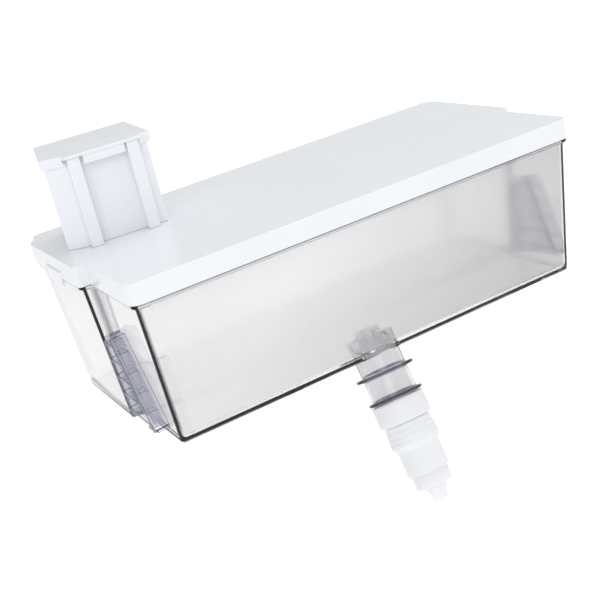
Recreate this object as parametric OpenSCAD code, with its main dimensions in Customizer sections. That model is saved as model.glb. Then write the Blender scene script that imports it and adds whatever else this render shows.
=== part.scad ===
// Lift-out drinking water tank for a refrigerator door dispenser.
// Clear tub with a stepped plan, white lid with a filler tower, two end
// racks that hook into the door, and a tilted outlet with a push-up valve.
// Millimetres. +X along the length, +Y to the rear, +Z up.
// The origin is the centre of the tub's flat underside.

/* [Tub] */
// Height of the tub from its underside to the top of its flange
tub_h = 92.5; // [80:0.5:110]
// Thickness of the clear walls
wall = 2.2; // [1.8:0.1:2.6]
// Thickness of the tub's floor
floor_t = 2.4; // [2:0.1:3]
// How far each end wall leans in towards the underside
draft_end = 6.2; // [4:0.1:8]
// How far the front wall leans in towards the underside
draft_front = 7; // [4:0.1:9]
// How far the rear wall leans in towards the underside
draft_rear = 6; // [4:0.1:8]
// Radius of the tub's rear corners
rear_corner_r = 10; // [6:0.5:12]
// Height of the lip that stands above the flange, inside the lid
upstand_h = 8.6; // [7:0.1:9]

/* [Lid] */
// Overall length of the lid
lid_l = 332; // [320:1:340]
// Overall width of the lid, without the grip behind the tower
lid_w = 166; // [160:1:172]
// Depth of the front block, which is shorter than the rear block
front_d = 68.5; // [60:0.5:75]
// How far each end of the front block is set in
end_inset = 7.5; // [6:0.5:9]
// Height of the lid's rim
rim_h = 13.2; // [12:0.1:15]
// Thickness of the lid's top plate
lid_t = 2.5; // [2:0.1:3]
// Thickness of the lid's rim
rim_t = 2; // [1.8:0.1:2.2]
// Length of the grip that stands out behind the tower
grip_l = 72; // [60:1:76]
// How far the grip stands out to the rear
grip_w = 10; // [6:0.5:12]

/* [Filler tower] */
// Height of the tower's walls above the lid
tower_h = 56.4; // [45:0.2:60]
// Width of the tower along the lid
tower_w = 65; // [60:0.5:66]
// Depth of the tower from its front face to its rear face
tower_d = 55; // [50:0.5:56]
// Angle that the tower is turned by on the lid
tower_turn = -6; // [-8:0.5:0]
// Thickness of the tower's walls
tower_wall = 2.2; // [2:0.1:2.6]
// How far the two front ribs stand out
rib_out = 6; // [4:0.5:7]
// Width of each front rib
rib_w = 7.6; // [6:0.1:9]
// Height of the cap's rim
cap_rim_h = 4.2; // [3.6:0.1:6]

/* [End racks] */
// How far the slanted rail stands out from the end wall
rail_out = 10; // [8:0.5:11]
// How far the ledges stand out from the end wall
ledge_out = 8; // [6:0.5:9]
// Number of ledges on a rack
ledge_count = 5; // [4:1:6]
// Thickness of the rails and ledges
rack_t = 2.2; // [1.8:0.1:2.6]

/* [Outlet] */
// Angle between the outlet and the vertical, towards the front
outlet_tilt = 26; // [22:1:28]
// Where the outlet's axis meets the underside, along the length
outlet_x = -4.5; // [-6:0.5:6]
// Where the outlet's axis meets the underside, front to rear
outlet_y = -57; // [-58:0.5:-54]
// Outer radius of the clear neck
neck_r = 15.2; // [14.6:0.1:15.4]
// Radius of the neck's bore
neck_bore_r = 13.4; // [13.2:0.1:13.5]
// Outer radius of the neck's upper flange
upper_flange_r = 19.8; // [18:0.1:21]
// Outer radius of the neck's lower flange
lower_flange_r = 18.4; // [17:0.1:20]

/* [Valve nozzle] */
// Outer radius of the screwed collar
collar_r = 17.5; // [17.2:0.1:18]
// Radius of the nozzle where it seats in the dispenser
seat_r = 13.9; // [13.6:0.1:14.2]
// Radius of the nozzle's lowest cylinder
lower_r = 12.2; // [12:0.1:12.6]
// How far the plunger is pushed up when the tank is seated
valve_travel = 6; // [4:0.5:7]
// Number of coils in the valve spring
spring_turns = 7; // [5:1:8]

/* [Hidden] */

$fn = 64;

// Colours
clear_tint = [0.86, 0.87, 0.90, 0.35];
rack_tint = [0.70, 0.70, 0.80, 0.5];
lid_white = [0.95, 0.96, 0.97];
milky_white = [0.97, 0.97, 0.98];
silicone = [0.88, 0.88, 0.88];

// Tub outline where it meets the lid
tub_overhang = 3;
half_l = lid_l / 2 - tub_overhang;
front_half_l = half_l - end_inset;
front_y = -lid_w / 2 + tub_overhang;
rear_y = lid_w / 2 - tub_overhang;
step_y = -lid_w / 2 + front_d + tub_overhang;
front_corner_r = 3;
step_corner_r = 2;
floor_chamfer = 2;
// The lowest slice of a drafted wall, which is only a skin for the hull
skin = 0.01;
// The blocks of the tub overlap by this much, so that they join
block_lap = 20;

// Heights
flange_t = 2.4;
upstand_top = tub_h + upstand_h;
lid_gap = 0.3;
lid_top = tub_h + lid_gap + rim_h;
lid_under = lid_top - lid_t;
gasket_low = upstand_top + lid_gap;
gasket_h = lid_under - gasket_low - 0.05;

// Radius of the lid's plan corners
lid_front_r = 7.5;
lid_rear_r = 10;
lid_step_r = 3;
grip_r = 6;
// The grip starts this far in from the lid's left end
grip_inset = 5.5;
// Finger tabs at the two ends of the lid's rim, outside the tub's flange
flange_out = 2.2;
tab_l = 28;
tab_y = 31;
tab_drop = 4.3;
tab_lap = 4.5;
tab_t = 1.4;

// Tower position: the middle of its rib faces at the lid's surface
tower_x = -117;
tower_y = 9.2;
tower_left = -39.5;
tower_right = tower_left + tower_w;
tower_front = rib_out;
tower_rear = rib_out + tower_d;
tower_chamfer = 11.5;
tower_chamfer_y = 5.5;
tower_left_lean = 7;
left_rib_x = -22.6;
right_rib_x = 14.9;
panel_recess = 1.5;
rib_wall = 1.8;
spigot_drop = 7;
spigot_wall = 2;
spigot_clear = 0.15;
ledge_t = 1.2;
hook_x = [-20, 8];
hook_l = 8;
hook_out = 1.8;
hook_t = 1.6;
tower_seal_t = 1.5;
// Hairline between parts that are clipped or bonded together
seam = 0.05;
cap_over = 2.2;
cap_t = 2;
cap_gap = 0.3;
cap_bottom = lid_top + tower_h - cap_rim_h;
cap_under = lid_top + tower_h + cap_gap;
cap_lip_drop = 1.2;
notch_clear = 1.1;

// Rack outline on the end wall: y and z of the slanted rail's ends
rail_top_y = -37;
rail_top_z = 65;
rail_foot_y = -60;
rail_foot_z = 10;
rack_rear_y = step_y - 1;
rack_top_z = 63;
rack_base_t = 1.6;
// Corner cut off the rack at its top rear
rack_chamfer = 10;
top_ledge_drop = 8;
// How far the rear upright reaches below the lowest ledge
upright_drop = 5;
// The second rail stands behind the first and is a little lower
inner_rail_shift = 8;
inner_rail_drop = 1.5;
ledge_low_z = 8;
foot_out = 0.5;
foot_l = 9;
bond_gap = 0.1;
end_lean = atan(draft_end / tub_h);

// Outlet, measured along its axis from a point this far below the tub's underside
outlet_datum = 8.4;
upper_flange_s = 9.4;
lower_flange_s = 26.3;
flange_half_t = 1.1;
recess_r = 21;
recess_t = 0.6;
neck_top_s = -outlet_datum - 7.5;
neck_end_s = 39;
collar_top_s = 28.4;
collar_end_s = 43.1;
collar_lip_t = 1.5;
ridge_start_s = 43.5;
ridge_end_s = 57.9;
ridge_count = 4;
ridge_r = 15.4;
ridge_grow = 0.35;
shoulder_s = 60.5;
seat_end_s = 77.4;
lower_start_s = 78.2;
lower_end_s = 87.7;
tip_end_s = 97.5;
tip_r = 6.9;
tip_end_r = 4.3;
outlet_r = 8.2;
chamber_r = 10.8;

// Strainer that stands up in the tub over the outlet
strainer_r = 8;
strainer_wall = 1.4;
strainer_top_s = -outlet_datum - 13;
strainer_end_s = -outlet_datum + 6;
strainer_slots = 8;
slot_w = 2.2;
slot_l = 7.5;
snap_ring_s = -outlet_datum - 1;
snap_ring_t = 2.5;
flow_hole_r = 1.6;
screen_r = strainer_r - strainer_wall - 0.1;
screen_t = 0.6;

// Valve
stem_top_s = 41;
// The pressed stem stays this far inside the carrier
stem_cover = 3;
carrier_top_s = stem_top_s - valve_travel - stem_cover;
carrier_spigot_r = neck_bore_r - 0.1;
carrier_flange_r = 14.9;
carrier_flange_s = 39.9;
carrier_flange_t = 1.5;
carrier_tube_r = 13.4;
carrier_end_s = 52;
carrier_bore_r = 11;
body_seal_t = 1.6;
hub_s = 45;
hub_t = 4;
hub_r = 4.4;
spoke_w = 2;
spoke_count = 3;
stem_r = 2.5;
stem_clear = 0.06;
head_s = 75;
head_t = 3.2;
head_r = 9.4;
land_r = 7.1;
ring_r = 1.2;
ring_centre_r = 8.4;
seat_gap = 0.3;
seat_s = head_s + head_t + 2 * ring_r + seat_gap + 0.1;
spring_r = 6.2;
spring_wire_r = 0.5;
spring_top_s = hub_s + hub_t + 0.3;
spring_end_s = head_s - 0.3;

// Vent valve under the cap's plate
vent_x = -6;
vent_y = 34;
vent_disc_r = 7;
vent_disc_t = 1.2;
vent_stem_r = 1.5;
vent_stem_l = 1.4;

// ---------- shared shapes ----------

// Rectangle with its own radius at the front and at the rear corners
module rounded_rect(x0, x1, y0, y1, r_front, r_rear) {
    translate([x0 + r_front, y0]) square([x1 - x0 - 2 * r_front, y1 - y0 - r_rear]);
    translate([x0 + r_rear, y0 + r_front]) square([x1 - x0 - 2 * r_rear, y1 - y0 - r_front]);
    translate([x0, y0 + r_front]) square([x1 - x0, y1 - y0 - r_front - r_rear]);
    for (x = [x0 + r_front, x1 - r_front])
        translate([x, y0 + r_front]) circle(r = r_front);
    for (x = [x0 + r_rear, x1 - r_rear])
        translate([x, y1 - r_rear]) circle(r = r_rear);
}

// Stepped plan of the tub at its top, drawn in by a margin
module tub_plan(margin) {
    rounded_rect(-half_l + margin, half_l - margin, step_y + margin, rear_y - margin,
                 max(step_corner_r - margin, 0.5), rear_corner_r - margin);
    rounded_rect(-front_half_l + margin, front_half_l - margin, front_y + margin,
                 step_y + block_lap, max(front_corner_r - margin, 0.5), 1);
}

// Stepped plan of the lid with the grip behind the tower, drawn in by a margin
module lid_plan(margin) {
    rounded_rect(-lid_l / 2 + margin, lid_l / 2 - margin, -lid_w / 2 + front_d + margin,
                 lid_w / 2 - margin, lid_step_r - margin / 2, lid_rear_r - margin);
    rounded_rect(-lid_l / 2 + end_inset + margin, lid_l / 2 - end_inset - margin,
                 -lid_w / 2 + margin, -lid_w / 2 + front_d + block_lap,
                 lid_front_r - margin, 1);
    rounded_rect(-lid_l / 2 + grip_inset + margin, -lid_l / 2 + grip_l - margin, 0,
                 lid_w / 2 + grip_w - margin, 1, grip_r - margin);
}

// One block of the tub, with its walls leaning in towards the underside
module drafted_block(half, y0, y1, d_end, d_front, d_rear, r_front, r_rear, low, high) {
    hull() {
        translate([0, 0, low])
            linear_extrude(skin)
                rounded_rect(-half + d_end + floor_chamfer, half - d_end - floor_chamfer,
                             y0 + d_front + floor_chamfer, y1 - d_rear - floor_chamfer,
                             r_front, r_rear, $fn = 24);
        translate([0, 0, low + floor_chamfer])
            linear_extrude(skin)
                rounded_rect(-half + d_end, half - d_end, y0 + d_front, y1 - d_rear,
                             r_front, r_rear, $fn = 24);
        translate([0, 0, high - skin])
            linear_extrude(skin)
                rounded_rect(-half, half, y0, y1, r_front, r_rear, $fn = 24);
    }
}

module tub_body(margin, low) {
    drafted_block(half_l - margin, step_y + margin, rear_y - margin, draft_end, 0, draft_rear,
                  step_corner_r, rear_corner_r - margin, low, tub_h);
    drafted_block(front_half_l - margin, front_y + margin, step_y + block_lap + margin,
                  draft_end, draft_front, 0, front_corner_r, step_corner_r, low, tub_h);
}

// Children drawn about the outlet's axis, where z is minus the distance along it
module along_outlet() {
    translate([outlet_x, outlet_y, 0])
        rotate([-outlet_tilt, 0, 0])
            translate([0, 0, -outlet_datum]) children();
}

// Ring about the outlet's axis between two distances
module outlet_ring(outer, inner, s0, s1) {
    translate([0, 0, -s1])
        difference() {
            cylinder(r = outer, h = s1 - s0);
            translate([0, 0, -1]) cylinder(r = inner, h = s1 - s0 + 2);
        }
}

// Solid round bar about the outlet's axis between two distances
module outlet_plug(r, s0, s1) {
    translate([0, 0, -s1]) cylinder(r = r, h = s1 - s0);
}

// Torus about the outlet's axis
module outlet_o_ring(centre_r, r, s) {
    translate([0, 0, -s]) rotate_extrude() translate([centre_r, 0]) circle(r = r, $fn = 24);
}

// ---------- tank ----------

module tank_tub() {
    color(clear_tint)
    difference() {
        union() {
            tub_body(0, 0);
            translate([0, 0, tub_h - flange_t])
                linear_extrude(flange_t)
                    difference() {
                        tub_plan(-flange_out);
                        tub_plan(wall);
                    }
            translate([0, 0, tub_h - skin])
                linear_extrude(upstand_h + skin)
                    difference() {
                        tub_plan(0);
                        tub_plan(wall);
                    }
        }
        tub_body(wall, floor_t);
        translate([0, 0, tub_h - 1]) linear_extrude(upstand_h + 2) tub_plan(wall);
        // Shallow recess in the underside, so that the tilted neck clears a flat shelf
        translate([outlet_x, outlet_y, -1]) cylinder(r = recess_r, h = 1 + recess_t);
        // Socket for the neck, and the way through the floor above it
        along_outlet() {
            outlet_plug(neck_r + bond_gap, neck_top_s - bond_gap, neck_end_s);
            outlet_plug(neck_bore_r, neck_top_s - neck_r, neck_end_s);
        }
    }
}

module outlet_neck() {
    color(clear_tint)
    along_outlet() {
        outlet_ring(neck_r, neck_bore_r, neck_top_s, neck_end_s);
        outlet_ring(upper_flange_r, neck_r - 0.5, upper_flange_s - flange_half_t,
                    upper_flange_s + flange_half_t);
        outlet_ring(lower_flange_r, neck_r - 0.5, lower_flange_s - flange_half_t,
                    lower_flange_s + flange_half_t);
    }
}

// Slanted strip on the end wall, standing out by a given amount.
// In this frame x is out of the wall, y and z are along it.
module slanted_rail(y_shift, out) {
    run_y = rail_foot_y - rail_top_y;
    run_z = rail_foot_z - rail_top_z;
    length = norm([run_y, run_z]);
    angle = atan2(run_y, -run_z);
    translate([0, rail_top_y + y_shift, rail_top_z])
        rotate([angle, 0, 0])
            translate([0, -rack_t / 2, -length])
                cube([out, rack_t, length]);
}

// Rack drawn flat against a wall that faces +X, with z up the wall
module rack() {
    ledge_high_z = rack_top_z - top_ledge_drop;
    ledge_pitch = (ledge_high_z - ledge_low_z) / (ledge_count - 1);
    slope = (rail_foot_y - rail_top_y) / (rail_foot_z - rail_top_z);
    intersection() {
        union() {
            // Base plate between the slanted rail and the step
            rotate([90, 0, 90])
                linear_extrude(rack_base_t)
                    polygon([[rail_top_y, rail_top_z], [rack_rear_y - rack_chamfer, rack_top_z],
                             [rack_rear_y, rack_top_z - rack_chamfer],
                             [rack_rear_y, ledge_low_z - upright_drop],
                             [rail_foot_y, rail_foot_z]]);
            slanted_rail(0, rail_out);
            slanted_rail(inner_rail_shift, ledge_out - inner_rail_drop);
            // Rear upright next to the step
            translate([0, rack_rear_y - rack_t, ledge_low_z - upright_drop])
                cube([ledge_out, rack_t, rack_top_z - rack_chamfer - ledge_low_z + upright_drop]);
            // Ledges from the slanted rail to the rear upright
            for (i = [0:ledge_count - 1]) {
                z = ledge_low_z + i * ledge_pitch;
                y = rail_top_y + slope * (z - rail_top_z);
                translate([0, y, z])
                    cube([ledge_out, rack_rear_y - y - rack_t / 2, rack_t]);
            }
            // Top plate with its chamfered corner
            rotate([90, 0, 90])
                linear_extrude(ledge_out)
                    polygon([[rail_top_y, rail_top_z], [rack_rear_y - rack_chamfer, rack_top_z],
                             [rack_rear_y, rack_top_z - rack_chamfer],
                             [rack_rear_y, rack_top_z - rack_chamfer - rack_t],
                             [rack_rear_y - rack_chamfer - 1, rack_top_z - rack_t],
                             [rail_top_y, rail_top_z - rack_t]]);
            // Foot that stands out at the bottom of the rail
            translate([0, rail_foot_y - foot_out, rail_foot_z - rack_t / 2])
                cube([rail_out, foot_l, rack_t]);
        }
        translate([0, -100, 0]) cube([rail_out, 100 + step_y - 0.5, 80]);
    }
}

// Places the rack on the right-hand end wall, leaning with it
module placed_rack() {
    translate([front_half_l - draft_end + bond_gap, 0, 0]) rotate([0, end_lean, 0]) rack();
}

module right_rack() {
    color(rack_tint) placed_rack();
}

module left_rack() {
    color(rack_tint) mirror([1, 0, 0]) placed_rack();
}

// ---------- outlet ----------

module outlet_strainer() {
    color(milky_white)
    along_outlet()
        difference() {
            union() {
                outlet_ring(strainer_r, strainer_r - strainer_wall, strainer_top_s,
                            strainer_end_s);
                // Ring that snaps into the neck
                outlet_ring(neck_bore_r - 0.1, strainer_r - 0.5, snap_ring_s,
                            snap_ring_s + snap_ring_t);
                // Closed top
                outlet_plug(strainer_r, strainer_top_s, strainer_top_s + strainer_wall);
            }
            // Slots round the part that stands up in the tub
            for (i = [0:strainer_slots - 1])
                rotate([0, 0, i * 360 / strainer_slots])
                    translate([strainer_r - 3, -slot_w / 2, -snap_ring_s + 2])
                        cube([6, slot_w, slot_l]);
            // Flow holes in the snap ring
            for (i = [0:strainer_slots - 1])
                rotate([0, 0, (i + 0.5) * 360 / strainer_slots])
                    translate([(strainer_r + neck_bore_r) / 2, 0, 0])
                        outlet_plug(flow_hole_r, snap_ring_s - 1, snap_ring_s + snap_ring_t + 1);
        }
}

module strainer_screen() {
    color(silicone)
    along_outlet()
        outlet_ring(screen_r, screen_r - screen_t, strainer_top_s + strainer_wall + 0.3,
                    strainer_end_s - 2);
}

module nozzle_collar() {
    color(milky_white)
    along_outlet() {
        outlet_ring(collar_r, neck_r + 0.15, collar_top_s, collar_end_s);
        outlet_ring(neck_r + 0.5, carrier_tube_r + 0.15, collar_end_s - collar_lip_t,
                    collar_end_s);
    }
}

module collar_washer() {
    color(silicone)
    along_outlet()
        outlet_ring(carrier_flange_r, neck_bore_r - 1, neck_end_s + 0.05, carrier_flange_s - 0.05);
}

module valve_carrier() {
    color(milky_white)
    along_outlet() {
        outlet_ring(carrier_spigot_r - 1.2, carrier_bore_r, carrier_top_s, carrier_end_s);
        outlet_ring(carrier_spigot_r, carrier_bore_r, carrier_top_s, carrier_top_s + 1.2);
        outlet_ring(carrier_flange_r, carrier_bore_r, carrier_flange_s,
                    carrier_flange_s + carrier_flange_t);
        outlet_ring(carrier_tube_r, carrier_bore_r, carrier_flange_s + carrier_flange_t / 2,
                    carrier_end_s);
        // Hub that guides the plunger's stem, on its spokes
        difference() {
            union() {
                translate([0, 0, -hub_s - hub_t]) cylinder(r = hub_r, h = hub_t);
                for (i = [0:spoke_count - 1])
                    rotate([0, 0, i * 360 / spoke_count])
                        translate([0, -spoke_w / 2, -hub_s - hub_t])
                            cube([carrier_bore_r + 0.5, spoke_w, hub_t]);
            }
            translate([0, 0, -hub_s - hub_t - 1])
                cylinder(r = stem_r + stem_clear, h = hub_t + 2);
        }
    }
}

module carrier_seal() {
    color(silicone)
    along_outlet()
        outlet_o_ring(carrier_spigot_r - 0.6, 0.55, carrier_top_s + 2.4);
}

// Outer profile of the nozzle body: radius and distance along the axis
function ridge_profile() = [
    for (i = [0:ridge_count - 1])
        let (pitch = (ridge_end_s - ridge_start_s) / ridge_count,
             s = ridge_start_s + i * pitch,
             r = ridge_r + i * ridge_grow)
            each [[r - 0.7, -s], [r, -s - pitch * 0.25], [r, -s - pitch * 0.95]]
];

module nozzle_body() {
    color(milky_white)
    along_outlet()
        rotate_extrude()
            polygon(concat(
                ridge_profile(),
                [[seat_r + 0.4, -shoulder_s],
                 [seat_r, -shoulder_s - 1],
                 [seat_r, -seat_end_s],
                 [lower_r, -lower_start_s],
                 [lower_r, -lower_end_s + 0.8],
                 [lower_r - 0.8, -lower_end_s],
                 [outlet_r, -lower_end_s],
                 [outlet_r, -seat_s],
                 [chamber_r, -seat_s],
                 [chamber_r, -carrier_end_s - body_seal_t],
                 [carrier_tube_r + 0.1, -carrier_end_s - body_seal_t],
                 [carrier_tube_r + 0.1, -ridge_start_s]]));
}

module body_seal() {
    color(silicone)
    along_outlet()
        outlet_ring(carrier_tube_r, chamber_r + 0.4, carrier_end_s + 0.05,
                    carrier_end_s + body_seal_t - 0.05);
}

module valve_plunger() {
    color(milky_white)
    along_outlet() {
        rotate_extrude()
            polygon([[0, -stem_top_s], [stem_r, -stem_top_s],
                     [stem_r, -head_s], [head_r, -head_s],
                     [head_r, -head_s - head_t],
                     [land_r, -head_s - head_t],
                     [land_r, -seat_s],
                     [tip_r, -seat_s - 0.5],
                     [tip_r, -lower_end_s - 0.6],
                     [tip_end_r, -tip_end_s],
                     [0, -tip_end_s]]);
    }
}

module plunger_seal() {
    color(silicone)
    along_outlet()
        outlet_o_ring(ring_centre_r, ring_r, head_s + head_t + ring_r + 0.05);
}

// Round wire wound in a helix between the carrier's hub and the plunger's head
module valve_spring() {
    steps_per_turn = 16;
    steps = spring_turns * steps_per_turn;
    z0 = -spring_end_s + spring_wire_r;
    z1 = -spring_top_s - spring_wire_r;
    path = [for (i = [0:steps])
        let (a = i * 360 / steps_per_turn)
            [spring_r * cos(a), spring_r * sin(a), z0 + (z1 - z0) * i / steps]];
    sides = 6;
    rings = [for (i = [0:steps])
        let (a = i * 360 / steps_per_turn, p = path[i])
            for (k = [0:sides - 1])
                let (b = k * 360 / sides)
                    [p[0] + spring_wire_r * cos(b) * cos(a), p[1] + spring_wire_r * cos(b) * sin(a),
                     p[2] + spring_wire_r * sin(b)]];
    walls = [for (i = [0:steps - 1], k = [0:sides - 1])
        [i * sides + k, i * sides + (k + 1) % sides,
         (i + 1) * sides + (k + 1) % sides, (i + 1) * sides + k]];
    first = [for (k = [sides - 1:-1:0]) k];
    last = [for (k = [0:sides - 1]) steps * sides + k];
    color([0.75, 0.76, 0.78])
    along_outlet() polyhedron(points = rings, faces = concat(walls, [first, last]));
}

// ---------- lid ----------

// Children drawn in the tower's own turned frame at the lid's surface
module at_tower(z) {
    translate([tower_x, tower_y, z]) rotate([0, 0, tower_turn]) children();
}

// Plan of the tower, drawn in by a margin: chamfered front left corner, leaning left side
module tower_plan(margin) {
    polygon([[tower_left + tower_chamfer + margin * 0.2, tower_front + margin],
             [tower_right - margin, tower_front + margin],
             [tower_right - margin, tower_rear - margin],
             [tower_left + tower_left_lean + margin, tower_rear - margin],
             [tower_left + margin, tower_front + tower_chamfer_y + margin * 0.8]]);
}

// The opening in the lid that the tower's spigot drops through
module spigot_plan(margin) {
    tower_plan(tower_wall + 1.5 + margin);
}

module lid() {
    color(lid_white)
    difference() {
        union() {
            translate([0, 0, lid_under]) linear_extrude(lid_t) lid_plan(0);
            translate([0, 0, lid_top - rim_h])
                linear_extrude(rim_h)
                    difference() {
                        lid_plan(0);
                        lid_plan(rim_t);
                    }
            // Finger tabs that drop outside the tub's flange
            for (side = [-1, 1])
                translate([side * (half_l + flange_out + lid_gap + tab_t / 2), tab_y,
                           lid_top - rim_h + (tab_lap - tab_drop) / 2])
                    cube([tab_t, tab_l, tab_lap + tab_drop], center = true);
        }
        at_tower(lid_under - 1) linear_extrude(lid_t + 2) spigot_plan(0);
    }
}

module lid_gasket() {
    color(silicone)
    translate([0, 0, gasket_low])
        linear_extrude(gasket_h)
            difference() {
                tub_plan(-0.4);
                tub_plan(wall + 0.6);
            }
}

module filler_tower() {
    color(lid_white) {
        at_tower(lid_top + seam)
            linear_extrude(tower_h - seam) {
                difference() {
                    tower_plan(0);
                    tower_plan(tower_wall);
                    // Sunk panel between the ribs
                    translate([left_rib_x + rib_w / 2, tower_front - 1])
                        square([right_rib_x - left_rib_x - rib_w, panel_recess + 1]);
                }
                // Wall behind the sunk panel
                translate([left_rib_x, tower_front + panel_recess])
                    square([right_rib_x - left_rib_x, tower_wall]);
                // Hollow ribs up the front
                for (x = [left_rib_x, right_rib_x])
                    translate([x - rib_w / 2, 0])
                        difference() {
                            square([rib_w, rib_out + tower_wall]);
                            translate([rib_wall, rib_wall])
                                square([rib_w - 2 * rib_wall, rib_out]);
                        }
            }
        // Spigot through the lid
        at_tower(lid_under - spigot_drop)
            linear_extrude(lid_t + spigot_drop + 1)
                difference() {
                    spigot_plan(spigot_clear);
                    spigot_plan(spigot_wall);
                }
        // Ledge that joins the spigot to the walls
        at_tower(lid_top + seam)
            linear_extrude(ledge_t)
                difference() {
                    tower_plan(0.5);
                    spigot_plan(spigot_wall);
                }
        // Snap hooks under the lid
        for (x = hook_x)
            at_tower(lid_under - tower_seal_t - hook_t - 2 * seam)
                translate([x, tower_rear - tower_wall - hook_out, 0])
                    cube([hook_l, hook_out, hook_t]);
    }
}

module tower_seal() {
    color(silicone)
    at_tower(lid_under - seam - tower_seal_t)
        linear_extrude(tower_seal_t)
            difference() {
                spigot_plan(-1.2);
                spigot_plan(0);
            }
}

// ---------- cap ----------

module filler_cap() {
    color(lid_white)
    difference() {
        union() {
            at_tower(cap_under) linear_extrude(cap_t) tower_plan(-cap_over);
            at_tower(cap_under)
                linear_extrude(cap_t)
                    translate([left_rib_x - rib_w / 2 - 2, -cap_over])
                        square([right_rib_x - left_rib_x + rib_w + 4, rib_out]);
            // Rim round the tower's walls
            at_tower(cap_bottom)
                linear_extrude(cap_rim_h + cap_gap + skin)
                    difference() {
                        tower_plan(-cap_over);
                        tower_plan(-cap_gap);
                        translate([left_rib_x - rib_w / 2 - notch_clear, -1])
                            square([right_rib_x - left_rib_x + rib_w + 2 * notch_clear,
                                    rib_out + 2]);
                    }
            // Snap lip between the ribs
            at_tower(cap_bottom - cap_lip_drop)
                linear_extrude(cap_rim_h + cap_lip_drop + cap_gap + skin)
                    translate([left_rib_x + rib_w / 2 + notch_clear + 1, -0.2])
                        square([right_rib_x - left_rib_x - rib_w - 2 * notch_clear - 1,
                                1.8]);
            // Plug inside the tower's mouth
            at_tower(cap_under - 8)
                linear_extrude(8 + skin)
                    difference() {
                        tower_plan(tower_wall + panel_recess + 1);
                        tower_plan(tower_wall + panel_recess + 2.6);
                    }
        }
        // Blind socket for the vent valve's stem
        at_tower(cap_under - 1)
            translate([vent_x, vent_y, 0]) cylinder(r = vent_stem_r + 0.05, h = vent_stem_l + 1);
    }
}

module cap_seal() {
    color(silicone)
    at_tower(cap_under - 5)
        linear_extrude(2)
            difference() {
                tower_plan(tower_wall + panel_recess + 0.4);
                tower_plan(tower_wall + panel_recess + 0.9);
            }
}

module vent_valve() {
    color(silicone)
    at_tower(cap_under - vent_disc_t - 0.1) translate([vent_x, vent_y, 0]) {
        cylinder(r = vent_disc_r, h = vent_disc_t);
        cylinder(r = vent_stem_r, h = vent_disc_t + vent_stem_l);
    }
}

tank_tub();
outlet_neck();
left_rack();
right_rack();
outlet_strainer();
strainer_screen();
nozzle_collar();
collar_washer();
valve_carrier();
carrier_seal();
nozzle_body();
body_seal();
valve_plunger();
plunger_seal();
valve_spring();
lid();
lid_gasket();
filler_tower();
tower_seal();
filler_cap();
cap_seal();
vent_valve();
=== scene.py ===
"""Looks for the lift-out refrigerator water tank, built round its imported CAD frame.

The clear tub and the turned outlet parts are remade here as smooth shells. The lid,
tower, cap and racks keep their CAD shape and gain soft edges. The other parts keep
their CAD shape as it is. Lengths of the tank are in millimetres and are turned to metres
where a mesh or a material is made. Those of the camera, lights and floor are in metres.
"""

import math

import bmesh
import bpy
from mathutils import Matrix, Vector


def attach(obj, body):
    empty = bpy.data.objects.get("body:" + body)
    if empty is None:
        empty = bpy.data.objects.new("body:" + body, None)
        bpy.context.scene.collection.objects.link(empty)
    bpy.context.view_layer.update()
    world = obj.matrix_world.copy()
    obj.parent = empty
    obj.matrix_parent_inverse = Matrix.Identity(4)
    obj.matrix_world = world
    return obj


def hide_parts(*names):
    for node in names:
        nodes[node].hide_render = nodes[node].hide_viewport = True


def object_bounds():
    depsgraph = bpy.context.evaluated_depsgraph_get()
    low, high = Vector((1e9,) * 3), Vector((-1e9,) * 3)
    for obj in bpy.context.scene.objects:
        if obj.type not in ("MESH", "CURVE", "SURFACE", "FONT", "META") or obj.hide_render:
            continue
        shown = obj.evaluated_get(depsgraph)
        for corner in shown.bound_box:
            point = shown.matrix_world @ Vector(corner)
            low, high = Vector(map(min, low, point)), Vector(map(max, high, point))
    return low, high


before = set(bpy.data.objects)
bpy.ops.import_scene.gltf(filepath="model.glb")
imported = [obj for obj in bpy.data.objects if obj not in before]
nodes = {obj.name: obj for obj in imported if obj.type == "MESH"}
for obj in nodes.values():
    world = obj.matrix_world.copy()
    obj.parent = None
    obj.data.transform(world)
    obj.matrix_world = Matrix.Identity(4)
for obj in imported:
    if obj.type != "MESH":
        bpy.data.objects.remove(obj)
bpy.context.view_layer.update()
MM = 0.001

# ---------- sizes, the same as the CAD's ----------

TUB_H = 92.5
WALL = 2.2
FLOOR_T = 2.4
DRAFT_END = 6.2
DRAFT_FRONT = 7.0
DRAFT_REAR = 6.0
UPSTAND_H = 8.6
FLANGE_T = 2.4
FLANGE_OUT = 2.2
HALF_L = 163.0
FRONT_HALF_L = 155.5
FRONT_Y = -80.0
REAR_Y = 80.0
STEP_Y = -11.5

OUTLET_TILT = math.radians(26)
OUTLET_FOOT = Vector((-4.5, -57.0, 0.0))
OUTLET_DATUM = 8.4
OUTLET_AXIS = Vector((0, -math.sin(OUTLET_TILT), -math.cos(OUTLET_TILT)))
NECK_R = 15.2
NECK_BORE_R = 13.4
NECK_TOP_S = -OUTLET_DATUM - 7.5
NECK_END_S = 39.0

# Camera of the photograph: its place in metres, its lens and sensor in millimetres
CAMERA_AT = Vector((-0.3204, -0.6371, 0.2840))
CAMERA_AZIMUTH = math.radians(25.2)
CAMERA_ELEVATION = math.radians(20.1)
CAMERA_ROLL = math.radians(13.44)
CAMERA_LENS = 66.75
CAMERA_SENSOR = 36


# ---------- mesh helpers ----------

TURN_SEGMENTS = 96
# Distances in metres below which points are merged
SAME_POINT = 1e-6
NO_LENGTH = 1e-7
WELD_REACH = 1e-5
FLAT_DEG = 1
SOFT_EDGE_DEG = 30


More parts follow.
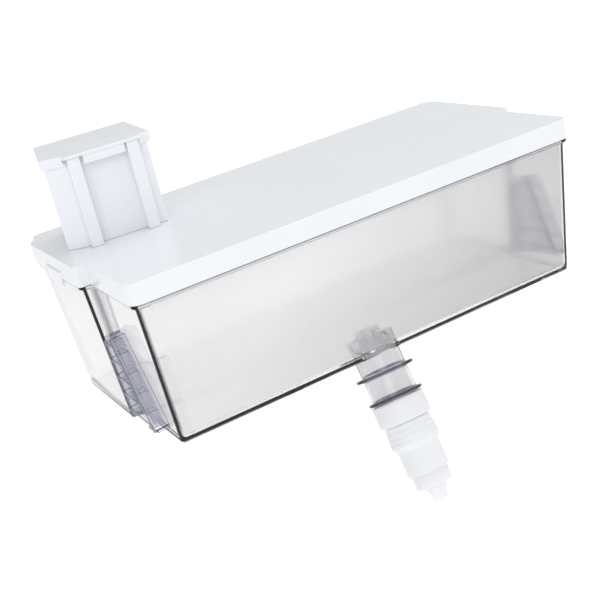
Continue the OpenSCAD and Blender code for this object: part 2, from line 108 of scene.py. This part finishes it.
def rounded_loop(corners, steps):
    """Closed 2D loop with an arc at each (x, y, radius) corner.

    Each point is (x, y, nearness to the middle of its arc from 0 to 1, corner number).
    """
    loop = []
    count = len(corners)
    for i, (x, y, r) in enumerate(corners):
        here = Vector((x, y))
        to_last = (Vector(corners[i - 1][:2]) - here).normalized()
        to_next = (Vector(corners[(i + 1) % count][:2]) - here).normalized()
        half = to_last.angle(to_next) / 2
        reach = r / math.tan(half)
        start = here + to_last * reach
        end = here + to_next * reach
        centre = here + (to_last + to_next).normalized() * (r / math.sin(half))
        a = start - centre
        sweep = a.angle_signed(end - centre)
        for k in range(steps + 1):
            turn = Matrix.Rotation(-sweep * k / steps, 2)
            p = centre + turn @ a
            weight = math.sin(math.pi * k / steps)
            loop.append((p.x, p.y, weight, i))
    return loop


def mesh_object(name, bm, material, body, replaced, sharp_deg):
    """Finishes a bmesh as a smooth piece that rides on a body and stands for CAD nodes."""
    bmesh.ops.recalc_face_normals(bm, faces=bm.faces)
    for face in bm.faces:
        face.smooth = True
    for edge in bm.edges:
        if len(edge.link_faces) == 2 and edge.calc_face_angle(0) > math.radians(sharp_deg):
            edge.smooth = False
    mesh = bpy.data.meshes.new(name)
    bm.to_mesh(mesh)
    bm.free()
    piece = bpy.data.objects.new(name, mesh)
    bpy.context.collection.objects.link(piece)
    mesh.materials.append(material)
    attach(piece, body)
    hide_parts(*replaced)
    return piece


def skin_rings(bm, rings, closed=False):
    """Joins rings of vertices that all have the same number of points."""
    pairs = list(zip(rings, rings[1:]))
    if closed:
        pairs.append((rings[-1], rings[0]))
    for low, high in pairs:
        count = len(low)
        for i in range(count):
            j = (i + 1) % count
            bm.faces.new((low[i], low[j], high[j], high[i]))


def turned(profile):
    """Bmesh of a closed profile turned about the outlet's axis.

    A profile's points start with (radius, distance along the axis).
    """
    bm = bmesh.new()
    edge = bm.verts.layers.float.new("edge")
    side = Vector((1, 0, 0))
    other = OUTLET_AXIS.cross(side)
    rings = []
    for i in range(TURN_SEGMENTS):
        a = 2 * math.pi * i / TURN_SEGMENTS
        out = side * math.cos(a) + other * math.sin(a)
        ring = []
        for point in profile:
            r = point[0]
            s = point[1]
            at = OUTLET_FOOT + OUTLET_AXIS * (s + OUTLET_DATUM) + out * r
            vert = bm.verts.new(at * MM)
            # The clear neck's material reads this: the rims of its flanges get painted dark shade
            # lines
            vert[edge] = 1.0 if r > NECK_R + 1 else 0.0
            ring.append(vert)
        rings.append(ring)
    skin_rings(bm, rings, closed=True)
    bmesh.ops.remove_doubles(bm, verts=bm.verts, dist=SAME_POINT)
    bmesh.ops.dissolve_degenerate(bm, edges=bm.edges, dist=NO_LENGTH)
    return bm


def soften(node, width_mm, segments=3, clamp=False):
    """Gives a CAD node soft edges: welds its faces, merges flat ones and bevels the edges."""
    weld = node.modifiers.new("weld", "WELD")
    weld.merge_threshold = WELD_REACH
    flat = node.modifiers.new("flat", "DECIMATE")
    flat.decimate_type = "DISSOLVE"
    flat.angle_limit = math.radians(FLAT_DEG)
    bevel = node.modifiers.new("soft_edges", "BEVEL")
    bevel.width = width_mm * MM
    bevel.segments = segments
    bevel.limit_method = "ANGLE"
    bevel.use_clamp_overlap = clamp
    bevel.angle_limit = math.radians(SOFT_EDGE_DEG)
    # Large flat faces keep their own direction, so only the rounded edges shade off
    even = node.modifiers.new("even_shading", "WEIGHTED_NORMAL")
    even.weight = 100
    for face in node.data.polygons:
        face.use_smooth = True


def apply_modifiers(piece):
    """Bakes a piece's modifiers into its mesh."""
    bpy.context.view_layer.update()
    evaluated = piece.evaluated_get(bpy.context.evaluated_depsgraph_get())
    mesh = bpy.data.meshes.new_from_object(evaluated)
    piece.modifiers.clear()
    piece.data = mesh


def give(node_name, material):
    """Puts a material on a CAD node."""
    mesh = nodes[node_name].data
    mesh.materials.clear()
    mesh.materials.append(material)


# ---------- materials ----------

class Shader:
    """A new node material with a Principled BSDF, and short ways to add nodes to it."""

    def __init__(self, name):
        self.material = bpy.data.materials.new(name)
        self.material.use_nodes = True
        self.tree = self.material.node_tree
        self.bsdf = self.tree.nodes["Principled BSDF"]
        self.place = self.node("ShaderNodeTexCoord").outputs["Object"]

    def node(self, kind, **settings):
        made = self.tree.nodes.new(kind)
        for key, value in settings.items():
            setattr(made, key, value)
        return made

    def link(self, source, target):
        self.tree.links.new(source, target)

    def set(self, **values):
        for key, value in values.items():
            self.bsdf.inputs[key.replace("_", " ")].default_value = value

    def noise(self, scale, detail, stretch=(1, 1, 1)):
        """Soft random values, mostly from 0.3 to 0.7."""
        mapping = self.node("ShaderNodeMapping")
        mapping.inputs["Scale"].default_value = stretch
        self.link(self.place, mapping.inputs["Vector"])
        noise = self.node("ShaderNodeTexNoise")
        noise.inputs["Scale"].default_value = scale
        noise.inputs["Detail"].default_value = detail
        self.link(mapping.outputs["Vector"], noise.inputs["Vector"])
        return noise.outputs["Fac"]

    def ramp(self, source, stops):
        """Colour by value, from (value, colour) stops."""
        ramp = self.node("ShaderNodeValToRGB")
        ramp.color_ramp.elements[0].position = stops[0][0]
        ramp.color_ramp.elements[0].color = (*stops[0][1], 1)
        ramp.color_ramp.elements[1].position = stops[-1][0]
        ramp.color_ramp.elements[1].color = (*stops[-1][1], 1)
        for position, color in stops[1:-1]:
            ramp.color_ramp.elements.new(position).color = (*color, 1)
        self.link(source, ramp.inputs["Fac"])
        return ramp.outputs["Color"]

    def span(self, source, low, high, to_low, to_high, smooth=False):
        """Maps low..high to to_low..to_high and holds it outside that."""
        spread = self.node("ShaderNodeMapRange")
        if smooth:
            spread.interpolation_type = "SMOOTHSTEP"
        spread.inputs["From Min"].default_value = low
        spread.inputs["From Max"].default_value = high
        spread.inputs["To Min"].default_value = to_low
        spread.inputs["To Max"].default_value = to_high
        self.link(source, spread.inputs["Value"])
        return spread.outputs["Result"]

    def math(self, operation, a, b):
        node = self.node("ShaderNodeMath", operation=operation)
        for socket, value in ((node.inputs[0], a), (node.inputs[1], b)):
            if isinstance(value, (int, float)):
                socket.default_value = value
            else:
                self.link(value, socket)
        return node.outputs[0]

    def mix(self, factor, a, b):
        node = self.node("ShaderNodeMix", data_type="RGBA")
        self.link(factor, node.inputs["Factor"])
        for socket, value in ((node.inputs["A"], a), (node.inputs["B"], b)):
            if isinstance(value, tuple):
                socket.default_value = (*value, 1)
            else:
                self.link(value, socket)
        return node.outputs["Result"]

    def bump(self, height, strength, distance_mm):
        bump = self.node("ShaderNodeBump")
        bump.inputs["Strength"].default_value = strength
        bump.inputs["Distance"].default_value = distance_mm * MM
        self.link(height, bump.inputs["Height"])
        self.link(bump.outputs["Normal"], self.bsdf.inputs["Normal"])


def white_plastic():
    s = Shader("white_plastic")
    tone = s.ramp(s.noise(14, 2), [(0.3, (0.875, 0.90, 0.935)), (0.7, (0.91, 0.93, 0.955))])
    s.link(tone, s.bsdf.inputs["Base Color"])
    s.link(s.span(s.noise(60, 4), 0.3, 0.7, 0.10, 0.20), s.bsdf.inputs["Roughness"])
    s.set(IOR=1.5, Specular_IOR_Level=0.55)
    s.bump(s.noise(420, 2), 0.05, 0.05)
    return s.material


def milky_plastic():
    s = Shader("milky_plastic")
    tone = s.ramp(s.noise(40, 3), [(0.3, (0.89, 0.90, 0.93)), (0.7, (0.92, 0.93, 0.955))])
    s.link(tone, s.bsdf.inputs["Base Color"])
    s.link(s.span(s.noise(90, 3), 0.3, 0.7, 0.28, 0.42), s.bsdf.inputs["Roughness"])
    s.set(Subsurface_Weight=0.35, Subsurface_Scale=0.004, Subsurface_Radius=(1, 1, 1), IOR=1.46)
    s.bump(s.noise(700, 2), 0.08, 0.04)
    return s.material


def silicone(name, low, high):
    s = Shader(name)
    s.link(s.ramp(s.noise(120, 3), [(0.3, low), (0.7, high)]), s.bsdf.inputs["Base Color"])
    s.link(s.span(s.noise(300, 2), 0.3, 0.7, 0.45, 0.6), s.bsdf.inputs["Roughness"])
    s.set(Subsurface_Weight=0.2, Subsurface_Scale=0.002)
    s.bump(s.noise(900, 2), 0.15, 0.03)
    return s.material


def steel(name, scale):
    s = Shader(name)
    tone = s.ramp(s.noise(scale, 2, (1, 1, 6)),
                  [(0.3, (0.52, 0.53, 0.55)), (0.7, (0.72, 0.73, 0.75))])
    s.link(tone, s.bsdf.inputs["Base Color"])
    s.link(s.span(s.noise(scale, 2), 0.3, 0.7, 0.2, 0.35), s.bsdf.inputs["Roughness"])
    s.set(Metallic=1.0)
    s.bump(s.noise(scale * 2, 2), 0.2, 0.02)
    return s.material


FACING_BLEND = 0.35
# Painted shade of clear plastic seen edge on: where it starts and how dark it gets
GRAZING_FROM = 0.68
GRAZING_SHADE = 0.6
FROST_ROUGHNESS = 0.22
FROST_TRANSMISSION = 0.60
SHADOW_TINT = (0.9, 0.9, 0.91, 1)


def clear_plastic(name, face_tint, edge_shade_tint, frosted=False, haze=0.0, ior=1.45):
    """Clear plastic with painted shade where it is seen edge on and along its marked edges, standing
    in for darker surroundings seen in it.
    """
    s = Shader(name)
    # Painted shade: the colour darkens where the surface is seen edge on
    facing = s.node("ShaderNodeLayerWeight")
    facing.inputs["Blend"].default_value = FACING_BLEND
    grazing_shade = s.span(facing.outputs["Facing"], GRAZING_FROM, 1.0, 0.0, GRAZING_SHADE, smooth=True)
    # Painted shade along the edges that the mesh marks
    edge = s.node("ShaderNodeAttribute", attribute_name="edge").outputs["Fac"]
    painted_shade = s.math("MAXIMUM", grazing_shade, edge)
    paler_tint = tuple(min(1, c * 1.02) for c in face_tint)
    cloud = s.ramp(s.noise(18, 3), [(0.3, face_tint), (0.7, paler_tint)])
    # The plastic's own tint, darkened by the painted shade
    tint_and_shade = s.mix(painted_shade, cloud, edge_shade_tint)
    s.set(Transmission_Weight=1.0, IOR=ior)
    rough = s.span(s.noise(70, 3), 0.3, 0.7, haze, haze + 0.03)
    if frosted:
        inner = s.node("ShaderNodeAttribute", attribute_name="inner").outputs["Fac"]
        field = front_mask(s)
        mask = s.math("MULTIPLY", field, inner)
        # Over the frosted field the outer face is untinted, so only the inner face carries the
        # painted shade
        tint_and_shade = s.mix(mask, s.mix(field, tint_and_shade, (1.0, 1.0, 1.0)), frost_painted_shade(s))
        rough = s.math("ADD", s.math("MULTIPLY", mask, FROST_ROUGHNESS), rough)
        passed = s.span(mask, 0, 1, 1.0, FROST_TRANSMISSION)
        s.link(passed, s.bsdf.inputs["Transmission Weight"])
    s.link(tint_and_shade, s.bsdf.inputs["Base Color"])
    s.link(rough, s.bsdf.inputs["Roughness"])
    s.bump(s.noise(160, 2), 0.03, 0.05)
    # Clear plastic casts only a faint shadow
    clear = s.node("ShaderNodeBsdfTransparent")
    clear.inputs["Color"].default_value = SHADOW_TINT
    blend = s.node("ShaderNodeMixShader")
    s.link(s.node("ShaderNodeLightPath").outputs["Is Shadow Ray"], blend.inputs[0])
    s.link(s.bsdf.outputs[0], blend.inputs[1])
    s.link(clear.outputs[0], blend.inputs[2])
    s.link(blend.outputs[0], s.tree.nodes["Material Output"].inputs["Surface"])
    return s.material


def tinted_plastic(name, low, high, cover):
    """Lavender see-through plastic of the racks; cover is how much it hides."""
    s = Shader(name)
    s.link(s.ramp(s.noise(60, 3), [(0.3, low), (0.7, high)]), s.bsdf.inputs["Base Color"])
    s.link(s.span(s.noise(90, 3), 0.3, 0.7, 0.06, 0.16), s.bsdf.inputs["Roughness"])
    s.set(Alpha=cover, IOR=1.5)
    s.bump(s.noise(260, 2), 0.05, 0.05)
    return s.material


# Frosted field of the front wall: its clear border at each end, its heights, the
# softness of its outline and how far back it reaches
FROST_LEFT = 8.5
FROST_RIGHT = 3.5
FROST_LOW = 1
FROST_HIGH = 91
FROST_FADE = 1.2
FROST_BACK_Y = -66
FROST_BACK_FADE = 2
# Painted shade over the frosted field: white at its left, grey towards its right and bottom
FROST_SHADE_TONES = [
    (0.0, (1.0, 1.0, 1.0)),
    (0.28, (0.99, 0.99, 1.0)),
    (0.5, (0.82, 0.82, 0.825)),
    (0.85, (0.59, 0.59, 0.595)),
    (1.0, (0.56, 0.56, 0.565)),
]


def front_mask(s):
    """1 on the frosted field of the front wall, 0 on its clear border and elsewhere."""
    split = s.node("ShaderNodeSeparateXYZ")
    s.link(s.place, split.inputs[0])
    x, y, z = split.outputs
    fade = FROST_FADE * MM
    low = FROST_LOW * MM
    high = FROST_HIGH * MM
    # The border follows the lean of the end walls
    wall_end = s.span(z, 0, TUB_H * MM, (FRONT_HALF_L - DRAFT_END) * MM, FRONT_HALF_L * MM)
    from_left = s.math("SUBTRACT", s.math("ADD", wall_end, x), FROST_LEFT * MM)
    from_right = s.math("SUBTRACT", s.math("SUBTRACT", wall_end, x), FROST_RIGHT * MM)
    across = s.span(s.math("MINIMUM", from_left, from_right), -fade, fade, 0, 1, smooth=True)
    above = s.span(z, low - fade, low + fade, 0, 1, smooth=True)
    below = s.span(z, high - fade, high + fade, 1, 0, smooth=True)
    at_front = s.span(y, FROST_BACK_Y * MM, (FROST_BACK_Y + FROST_BACK_FADE) * MM, 1, 0)
    one = s.math("MULTIPLY", across, above)
    other = s.math("MULTIPLY", below, at_front)
    return s.math("MULTIPLY", one, other)


def frost_painted_shade(s):
    """Frosted white with painted shade that greys it towards the right and the bottom, as the light
    falls from the front left.
    """
    split = s.node("ShaderNodeSeparateXYZ")
    s.link(s.place, split.inputs[0])
    x, _, z = split.outputs
    along = s.span(x, -150 * MM, 150 * MM, 0, 1)
    down = s.span(z, 90 * MM, 0, 0, 1)
    fall = s.math("ADD", s.math("MULTIPLY", along, 0.75), s.math("MULTIPLY", down, 0.25))
    return s.ramp(fall, FROST_SHADE_TONES)


WHITE = white_plastic()
MILKY = milky_plastic()
SEAL = silicone("silicone", (0.70, 0.71, 0.72), (0.80, 0.81, 0.82))
MESH_STEEL = steel("steel_mesh", 900)
WIRE_STEEL = steel("spring_steel", 300)
# The second colour of each clear plastic is the dark colour of its painted edge shade
TUB_CLEAR = clear_plastic("tub_clear", (0.90, 0.90, 0.903), (0.06, 0.055, 0.08), frosted=True)
NECK_CLEAR = clear_plastic("neck_clear", (0.82, 0.82, 0.83), (0.05, 0.045, 0.08), haze=0.02, ior=1.4)
RACK_CLEAR = tinted_plastic("rack_clear", (0.56, 0.56, 0.67), (0.68, 0.68, 0.79), 0.32)
# Dark material for the racks' bevelled edges: painted shade lines
RACK_EDGE_SHADE = tinted_plastic("rack_edge_shade", (0.05, 0.05, 0.09), (0.10, 0.10, 0.15), 0.85)


# ---------- clear tub ----------

FLOOR_R = 2.5
INNER_FLOOR_R = 4.0
FLOOR_STEPS = 6
BEAD_STEPS = 8
ARC_STEPS = 6
# Corner radii of the plan at its outer face
FRONT_R = 3.0
STEP_R = 2.0
HOLLOW_R = 4.5
REAR_R = 10.0
LEAST_R = 0.8
# Heights of two rings part way up the walls
WALL_LOW_Z = 12
WALL_MID_Z = 45
UPSTAND_ROUND = 0.7


def tub_corners(z, inset):
    """Corners of the stepped plan at a height, drawn in by an inset."""
    lean = max(0.0, 1 - z / TUB_H)
    end = HALF_L - DRAFT_END * lean - inset
    front_end = FRONT_HALF_L - DRAFT_END * lean - inset
    front = FRONT_Y + DRAFT_FRONT * lean + inset
    rear = REAR_Y - DRAFT_REAR * lean - inset
    step = STEP_Y + inset
    front_r = max(LEAST_R, FRONT_R - inset)
    step_r = max(LEAST_R, STEP_R - inset)
    hollow_r = HOLLOW_R + inset
    rear_r = REAR_R - inset
    return [
        (-front_end, front, front_r), (front_end, front, front_r),
        (front_end, step, hollow_r), (end, step, step_r),
        (end, rear, rear_r), (-end, rear, rear_r),
        (-end, step, step_r), (-front_end, step, hollow_r),
    ]


def tub_levels():
    """(height, inset, painted edge shade) of each ring, up the outside and down the inside."""
    flange_low = TUB_H - FLANGE_T
    bead = FLANGE_T / 2
    top = TUB_H + UPSTAND_H
    levels = []
    for k in range(FLOOR_STEPS + 1):
        a = math.pi / 2 * k / FLOOR_STEPS
        height = FLOOR_R * (1 - math.cos(a))
        inset = FLOOR_R * (1 - math.sin(a))
        # The bottom edge gets a faint painted dark line
        levels.append((height, inset, 0.2 * math.sin(2 * a)))
    levels += [(WALL_LOW_Z, 0, 0), (WALL_MID_Z, 0, 0)]
    levels += [(flange_low - 1.5, 0, 0), (flange_low, -0.3, 0.5)]
    for k in range(BEAD_STEPS + 1):
        a = math.pi * k / BEAD_STEPS
        # Painted shade on the flange's rim: its outermost part is paler than its top and bottom,
        # which are dark lines
        painted_shade = 0.3 if k in (3, 4, 5) else 1.0
        height = flange_low + bead * (1 - math.cos(a))
        inset = -FLANGE_OUT + bead - bead * math.sin(a)
        levels.append((height, inset, painted_shade))
    levels += [(TUB_H, -0.2, 0.3), (TUB_H + 0.3, 0, 0)]
    levels += [(top - UPSTAND_ROUND, 0, 0), (top, UPSTAND_ROUND, 0.4)]
    levels += [(top, WALL - UPSTAND_ROUND, 0.4), (top - UPSTAND_ROUND, WALL, 0)]
    levels += [(TUB_H, WALL, 0), (WALL_MID_Z, WALL, 0), (WALL_LOW_Z, WALL, 0)]
    for k in range(FLOOR_STEPS, -1, -1):
        a = math.pi / 2 * k / FLOOR_STEPS
        height = FLOOR_T + INNER_FLOOR_R * (1 - math.cos(a))
        inset = WALL + INNER_FLOOR_R * (1 - math.sin(a))
        levels.append((height, inset, 0))
    return levels


# Painted shade at each corner of the plan, in the order of tub_corners: front left and right, right
# hollow and step, rear right and left, left step and hollow
CORNER_SHADE = [1.5, 1.5, 1.2, 1.5, 0.3, 0.45, 1.6, 0.9]


def build_tub():
    """The clear tub as one shell, with the neck's socket and the bore cut through its floor."""
    bm = bmesh.new()
    edge = bm.verts.layers.float.new("edge")
    inner = bm.verts.layers.float.new("inner")
    rings = []
    for z, inset, painted_shade in tub_levels():
        ring = []
        upright = 1.0 if inset <= 0.3 and FLOOR_R < z < TUB_H - FLANGE_T else 0.0
        for x, y, corner, which in rounded_loop(tub_corners(z, inset), ARC_STEPS):
            vert = bm.verts.new(Vector((x, y, z)) * MM)
            # Painted shade: dark lines along the wall's corners, the floor edge and the flange's rim
            vert[edge] = max(painted_shade, min(1.0, CORNER_SHADE[which] * corner) * upright)
            vert[inner] = 1.0 if inset >= WALL else 0.0
            ring.append(vert)
        rings.append(ring)
    skin_rings(bm, rings)
    bm.faces.new(rings[0])
    bm.faces.new(rings[-1])
    tub = mesh_object("clear_tub", bm, TUB_CLEAR, "tank", ["tank_tub"], 60)
    cutter_profile = [(0, NECK_TOP_S - 0.1), (NECK_R + 0.1, NECK_TOP_S - 0.1),
                      (NECK_R + 0.1, NECK_END_S), (0, NECK_END_S)]
    bore_profile = [(0, NECK_TOP_S - NECK_R), (NECK_BORE_R, NECK_TOP_S - NECK_R),
                    (NECK_BORE_R, NECK_END_S), (0, NECK_END_S)]
    for label, profile in (("socket", cutter_profile), ("bore", bore_profile)):
        cut_mesh = bpy.data.meshes.new("cut_" + label)
        cut_bm = turned(profile)
        bmesh.ops.recalc_face_normals(cut_bm, faces=cut_bm.faces)
        cut_bm.to_mesh(cut_mesh)
        cut_bm.free()
        cutter = bpy.data.objects.new("cut_" + label, cut_mesh)
        bpy.context.collection.objects.link(cutter)
        cut = tub.modifiers.new(label, "BOOLEAN")
        cut.operation = "DIFFERENCE"
        cut.object = cutter
        cut.solver = "EXACT"
    apply_modifiers(tub)
    for label in ("socket", "bore"):
        bpy.data.objects.remove(bpy.data.objects["cut_" + label])
    return tub


build_tub()


# ---------- turned outlet parts ----------

TURNED_ARC_STEPS = 4
TURNED_SHARP_DEG = 40


def ring_piece(name, corners, material, node, body="tank"):
    """A turned part from a profile of (radius, distance, corner radius)."""
    profile = rounded_loop(corners, TURNED_ARC_STEPS)
    mesh_object(name, turned(profile), material, body, [node], TURNED_SHARP_DEG)


# The neck's two flanges
UPPER_S = 9.4
UPPER_R = 19.8
LOWER_S = 26.3
LOWER_R = 18.4
FLANGE_HALF = 1.1
ring_piece("clear_neck", [
    (NECK_BORE_R, NECK_TOP_S, 0.3), (NECK_R, NECK_TOP_S, 0.5),
    (NECK_R, UPPER_S - FLANGE_HALF, 0.6), (UPPER_R, UPPER_S - FLANGE_HALF, 1.0),
    (UPPER_R, UPPER_S + FLANGE_HALF, 1.0), (NECK_R, UPPER_S + FLANGE_HALF, 0.6),
    (NECK_R, LOWER_S - FLANGE_HALF, 0.6), (LOWER_R, LOWER_S - FLANGE_HALF, 1.0),
    (LOWER_R, LOWER_S + FLANGE_HALF, 1.0), (NECK_R, LOWER_S + FLANGE_HALF, 0.3),
    (NECK_R, NECK_END_S, 0.4), (NECK_BORE_R, NECK_END_S, 0.4),
], NECK_CLEAR, "outlet_neck")

COLLAR_R = 17.5
COLLAR_BORE_R = NECK_R + 0.15
COLLAR_HOLE_R = 13.55
COLLAR_TOP_S = 28.4
COLLAR_SHELF_S = 41.6
COLLAR_END_S = 43.1
ring_piece("collar", [
    (COLLAR_BORE_R, COLLAR_TOP_S, 0.2), (COLLAR_R, COLLAR_TOP_S, 0.6),
    (COLLAR_R, COLLAR_END_S, 0.6), (COLLAR_HOLE_R, COLLAR_END_S, 0.3),
    (COLLAR_HOLE_R, COLLAR_SHELF_S, 0.2), (COLLAR_BORE_R, COLLAR_SHELF_S, 0.1),
], MILKY, "nozzle_collar")

RIDGE_START = 43.5
RIDGE_END = 57.9
RIDGES = 4
RIDGE_R = 15.4
RIDGE_GROWTH = 0.35
RIDGE_DEPTH = 0.4
SEAT_R = 13.9
SEAT_END_S = 77.4
NOZZLE_TIP_R = 12.2
NOZZLE_TIP_S = 78.2
NOZZLE_END_S = 87.6
MOUTH_R = 8.2
MOUTH_S = 81.0
CHAMBER_R = 10.8
CHAMBER_TOP_S = 53.6
UPPER_BORE_R = 13.5
pitch = (RIDGE_END - RIDGE_START) / RIDGES
ridge_corners = []
for i in range(RIDGES):
    top = RIDGE_START + i * pitch
    r = RIDGE_R + RIDGE_GROWTH * i
    ridge_corners += [
        (r - RIDGE_DEPTH, top, 0.3), (r, top + pitch * 0.3, 0.5), (r, top + pitch * 0.9, 0.4),
    ]
ring_piece("nozzle", ridge_corners + [
    (14.3, 60.5, 0.6), (SEAT_R, 61.5, 0.4), (SEAT_R, SEAT_END_S, 0.3),
    (NOZZLE_TIP_R, NOZZLE_TIP_S, 0.3), (NOZZLE_TIP_R, NOZZLE_END_S, 1.0),
    (MOUTH_R, NOZZLE_END_S, 0.5), (MOUTH_R, MOUTH_S, 0.3), (CHAMBER_R, MOUTH_S, 0.4),
    (CHAMBER_R, CHAMBER_TOP_S, 0.4), (UPPER_BORE_R, CHAMBER_TOP_S, 0.1),
    (UPPER_BORE_R, RIDGE_START, 0.3),
], MILKY, "nozzle_body")

# The turned loop stops just short of the axis and leaves a pinhole too fine to see
AXIS_R = 0.02
AXIS_ROUND = 0.005
STEM_R = 2.5
STEM_TOP_S = 41.0
DISC_R = 9.4
DISC_TOP_S = 75.0
DISC_END_S = 78.2
WAIST_R = 7.1
TIP_R = 6.9
TIP_END_R = 4.3
TIP_END_S = 97.5
ring_piece("plunger", [
    (AXIS_R, STEM_TOP_S, AXIS_ROUND), (STEM_R, STEM_TOP_S, 0.4), (STEM_R, DISC_TOP_S, 0.4),
    (DISC_R, DISC_TOP_S, 0.3), (DISC_R, DISC_END_S, 0.3), (WAIST_R, DISC_END_S, 0.1),
    (WAIST_R, MOUTH_S, 0.1), (TIP_R, 81.5, 0.2), (TIP_R, 88.3, 0.5),
    (TIP_END_R, TIP_END_S, 0.8), (AXIS_R, TIP_END_S, AXIS_ROUND),
], MILKY, "valve_plunger", body="valve")


# ---------- CAD parts that keep their shape ----------

# The lid's soft edges are held back where they would run into each other
SOFT_WHITE_PARTS = (
    ("lid", 1.0, True),
    ("filler_tower", 0.5, False),
    ("filler_cap", 0.6, False),
)
for name, width, clamp in SOFT_WHITE_PARTS:
    give(name, WHITE)
    soften(nodes[name], width, clamp=clamp)
RACK_SOFT = 0.35
# The racks' bevels take the second material, which paints shade lines on their edges
EDGE_MATERIAL = 1
for name in ("left_rack", "right_rack"):
    give(name, RACK_CLEAR)
    nodes[name].data.materials.append(RACK_EDGE_SHADE)
    soften(nodes[name], RACK_SOFT, 2)
    nodes[name].modifiers["soft_edges"].material = EDGE_MATERIAL
for name in ("outlet_strainer", "valve_carrier"):
    give(name, MILKY)
for name in ("collar_washer", "carrier_seal", "body_seal", "plunger_seal", "lid_gasket",
             "tower_seal", "cap_seal", "vent_valve"):
    give(name, SEAL)
give("strainer_screen", MESH_STEEL)
give("valve_spring", WIRE_STEEL)


# ---------- studio ----------

FLOOR_GAP = 0.001
FLOOR_HALF = 30
FLOOR_GLOW = 0.63
FLOOR_GLOW_SEEN = 0.80
# Brightness of the surroundings from the front to the rear
WORLD_STOPS = [(0.0, 0.68), (0.45, 0.65), (0.75, 0.62), (1.0, 0.60)]


def build_floor():
    """A wide pale sheet just below the lowest point."""
    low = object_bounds()[0][2] - FLOOR_GAP
    bm = bmesh.new()
    bmesh.ops.create_grid(bm, x_segments=4, y_segments=4, size=FLOOR_HALF)
    for vert in bm.verts:
        vert.co.z = low
    mesh = bpy.data.meshes.new("floor")
    bm.to_mesh(mesh)
    bm.free()
    floor = bpy.data.objects.new("floor", mesh)
    bpy.context.collection.objects.link(floor)
    s = Shader("pale_floor")
    s.link(s.ramp(s.noise(3, 2), [(0.3, (0.44, 0.44, 0.44)), (0.7, (0.46, 0.46, 0.46))]),
           s.bsdf.inputs["Base Color"])
    s.set(Roughness=0.9, Emission_Color=(1, 1, 1, 1))
    # The bare sheet is white; what is seen through clear plastic or lit by it is a little dimmer
    seen = s.node("ShaderNodeLightPath").outputs["Is Camera Ray"]
    glow = s.span(seen, 0, 1, FLOOR_GLOW, FLOOR_GLOW_SEEN)
    s.link(glow, s.bsdf.inputs["Emission Strength"])
    mesh.materials.append(s.material)


def area_light(name, at, aim, size, power):
    """A square white light, size metres wide, turned towards a point."""
    data = bpy.data.lights.new(name, "AREA")
    data.shape = "RECTANGLE"
    data.size = size
    data.size_y = size
    data.energy = power
    lamp = bpy.data.objects.new(name, data)
    bpy.context.collection.objects.link(lamp)
    lamp.location = at
    lamp.rotation_euler = (Vector(aim) - Vector(at)).to_track_quat("-Z", "Y").to_euler()


def world_color(level):
    """A faintly blue grey of the surroundings."""
    return (level * 0.98, level * 0.99, level, 1)


def build_world():
    """Pale surroundings for reflections, white where the camera looks straight at them."""
    world = bpy.data.worlds.new("studio")
    bpy.context.scene.world = world
    world.use_nodes = True
    tree = world.node_tree
    background = tree.nodes["Background"]
    background.inputs["Strength"].default_value = 1.0
    split = tree.nodes.new("ShaderNodeSeparateXYZ")
    tree.links.new(tree.nodes.new("ShaderNodeTexCoord").outputs["Generated"], split.inputs[0])
    ramp = tree.nodes.new("ShaderNodeValToRGB")
    ends = (WORLD_STOPS[0], WORLD_STOPS[-1])
    for element, (position, level) in zip(ramp.color_ramp.elements, ends):
        element.position = position
        element.color = world_color(level)
    for position, level in WORLD_STOPS[1:-1]:
        ramp.color_ramp.elements.new(position).color = world_color(level)
    spread = tree.nodes.new("ShaderNodeMapRange")
    spread.inputs["From Min"].default_value = -1
    spread.inputs["From Max"].default_value = 1
    tree.links.new(split.outputs["Y"], spread.inputs["Value"])
    tree.links.new(spread.outputs["Result"], ramp.inputs["Fac"])
    # The camera sees plain white past the floor's edge
    seen = tree.nodes.new("ShaderNodeLightPath").outputs["Is Camera Ray"]
    choice = tree.nodes.new("ShaderNodeMix")
    choice.data_type = "RGBA"
    choice.inputs["B"].default_value = (1, 1, 1, 1)
    tree.links.new(seen, choice.inputs["Factor"])
    tree.links.new(ramp.outputs["Color"], choice.inputs["A"])
    tree.links.new(choice.outputs["Result"], background.inputs["Color"])
    bpy.context.scene.view_settings.view_transform = "Standard"


def build_camera():
    """The photograph's camera."""
    data = bpy.data.cameras.new("camera")
    data.lens = CAMERA_LENS
    data.sensor_width = CAMERA_SENSOR
    camera = bpy.data.objects.new("camera", data)
    bpy.context.collection.objects.link(camera)
    ahead = Vector((math.sin(CAMERA_AZIMUTH) * math.cos(CAMERA_ELEVATION),
                    math.cos(CAMERA_AZIMUTH) * math.cos(CAMERA_ELEVATION),
                    -math.sin(CAMERA_ELEVATION)))
    level = ahead.to_track_quat("-Z", "Y").to_matrix().to_4x4()
    roll = Matrix.Rotation(-CAMERA_ROLL, 4, "Z")
    camera.matrix_world = Matrix.Translation(CAMERA_AT) @ level @ roll
    bpy.context.scene.camera = camera


build_floor()
build_world()
build_camera()
area_light("key", (-1.2, -1.6, 1.1), (0, 0, 0.03), 1.4, 9.5)
area_light("fill", (1.4, -1.2, 0.6), (0, 0, 0.03), 1.0, 1.2)
area_light("top", (0.9, 0.2, 1.5), (0, 0, 0.05), 1.6, 10)
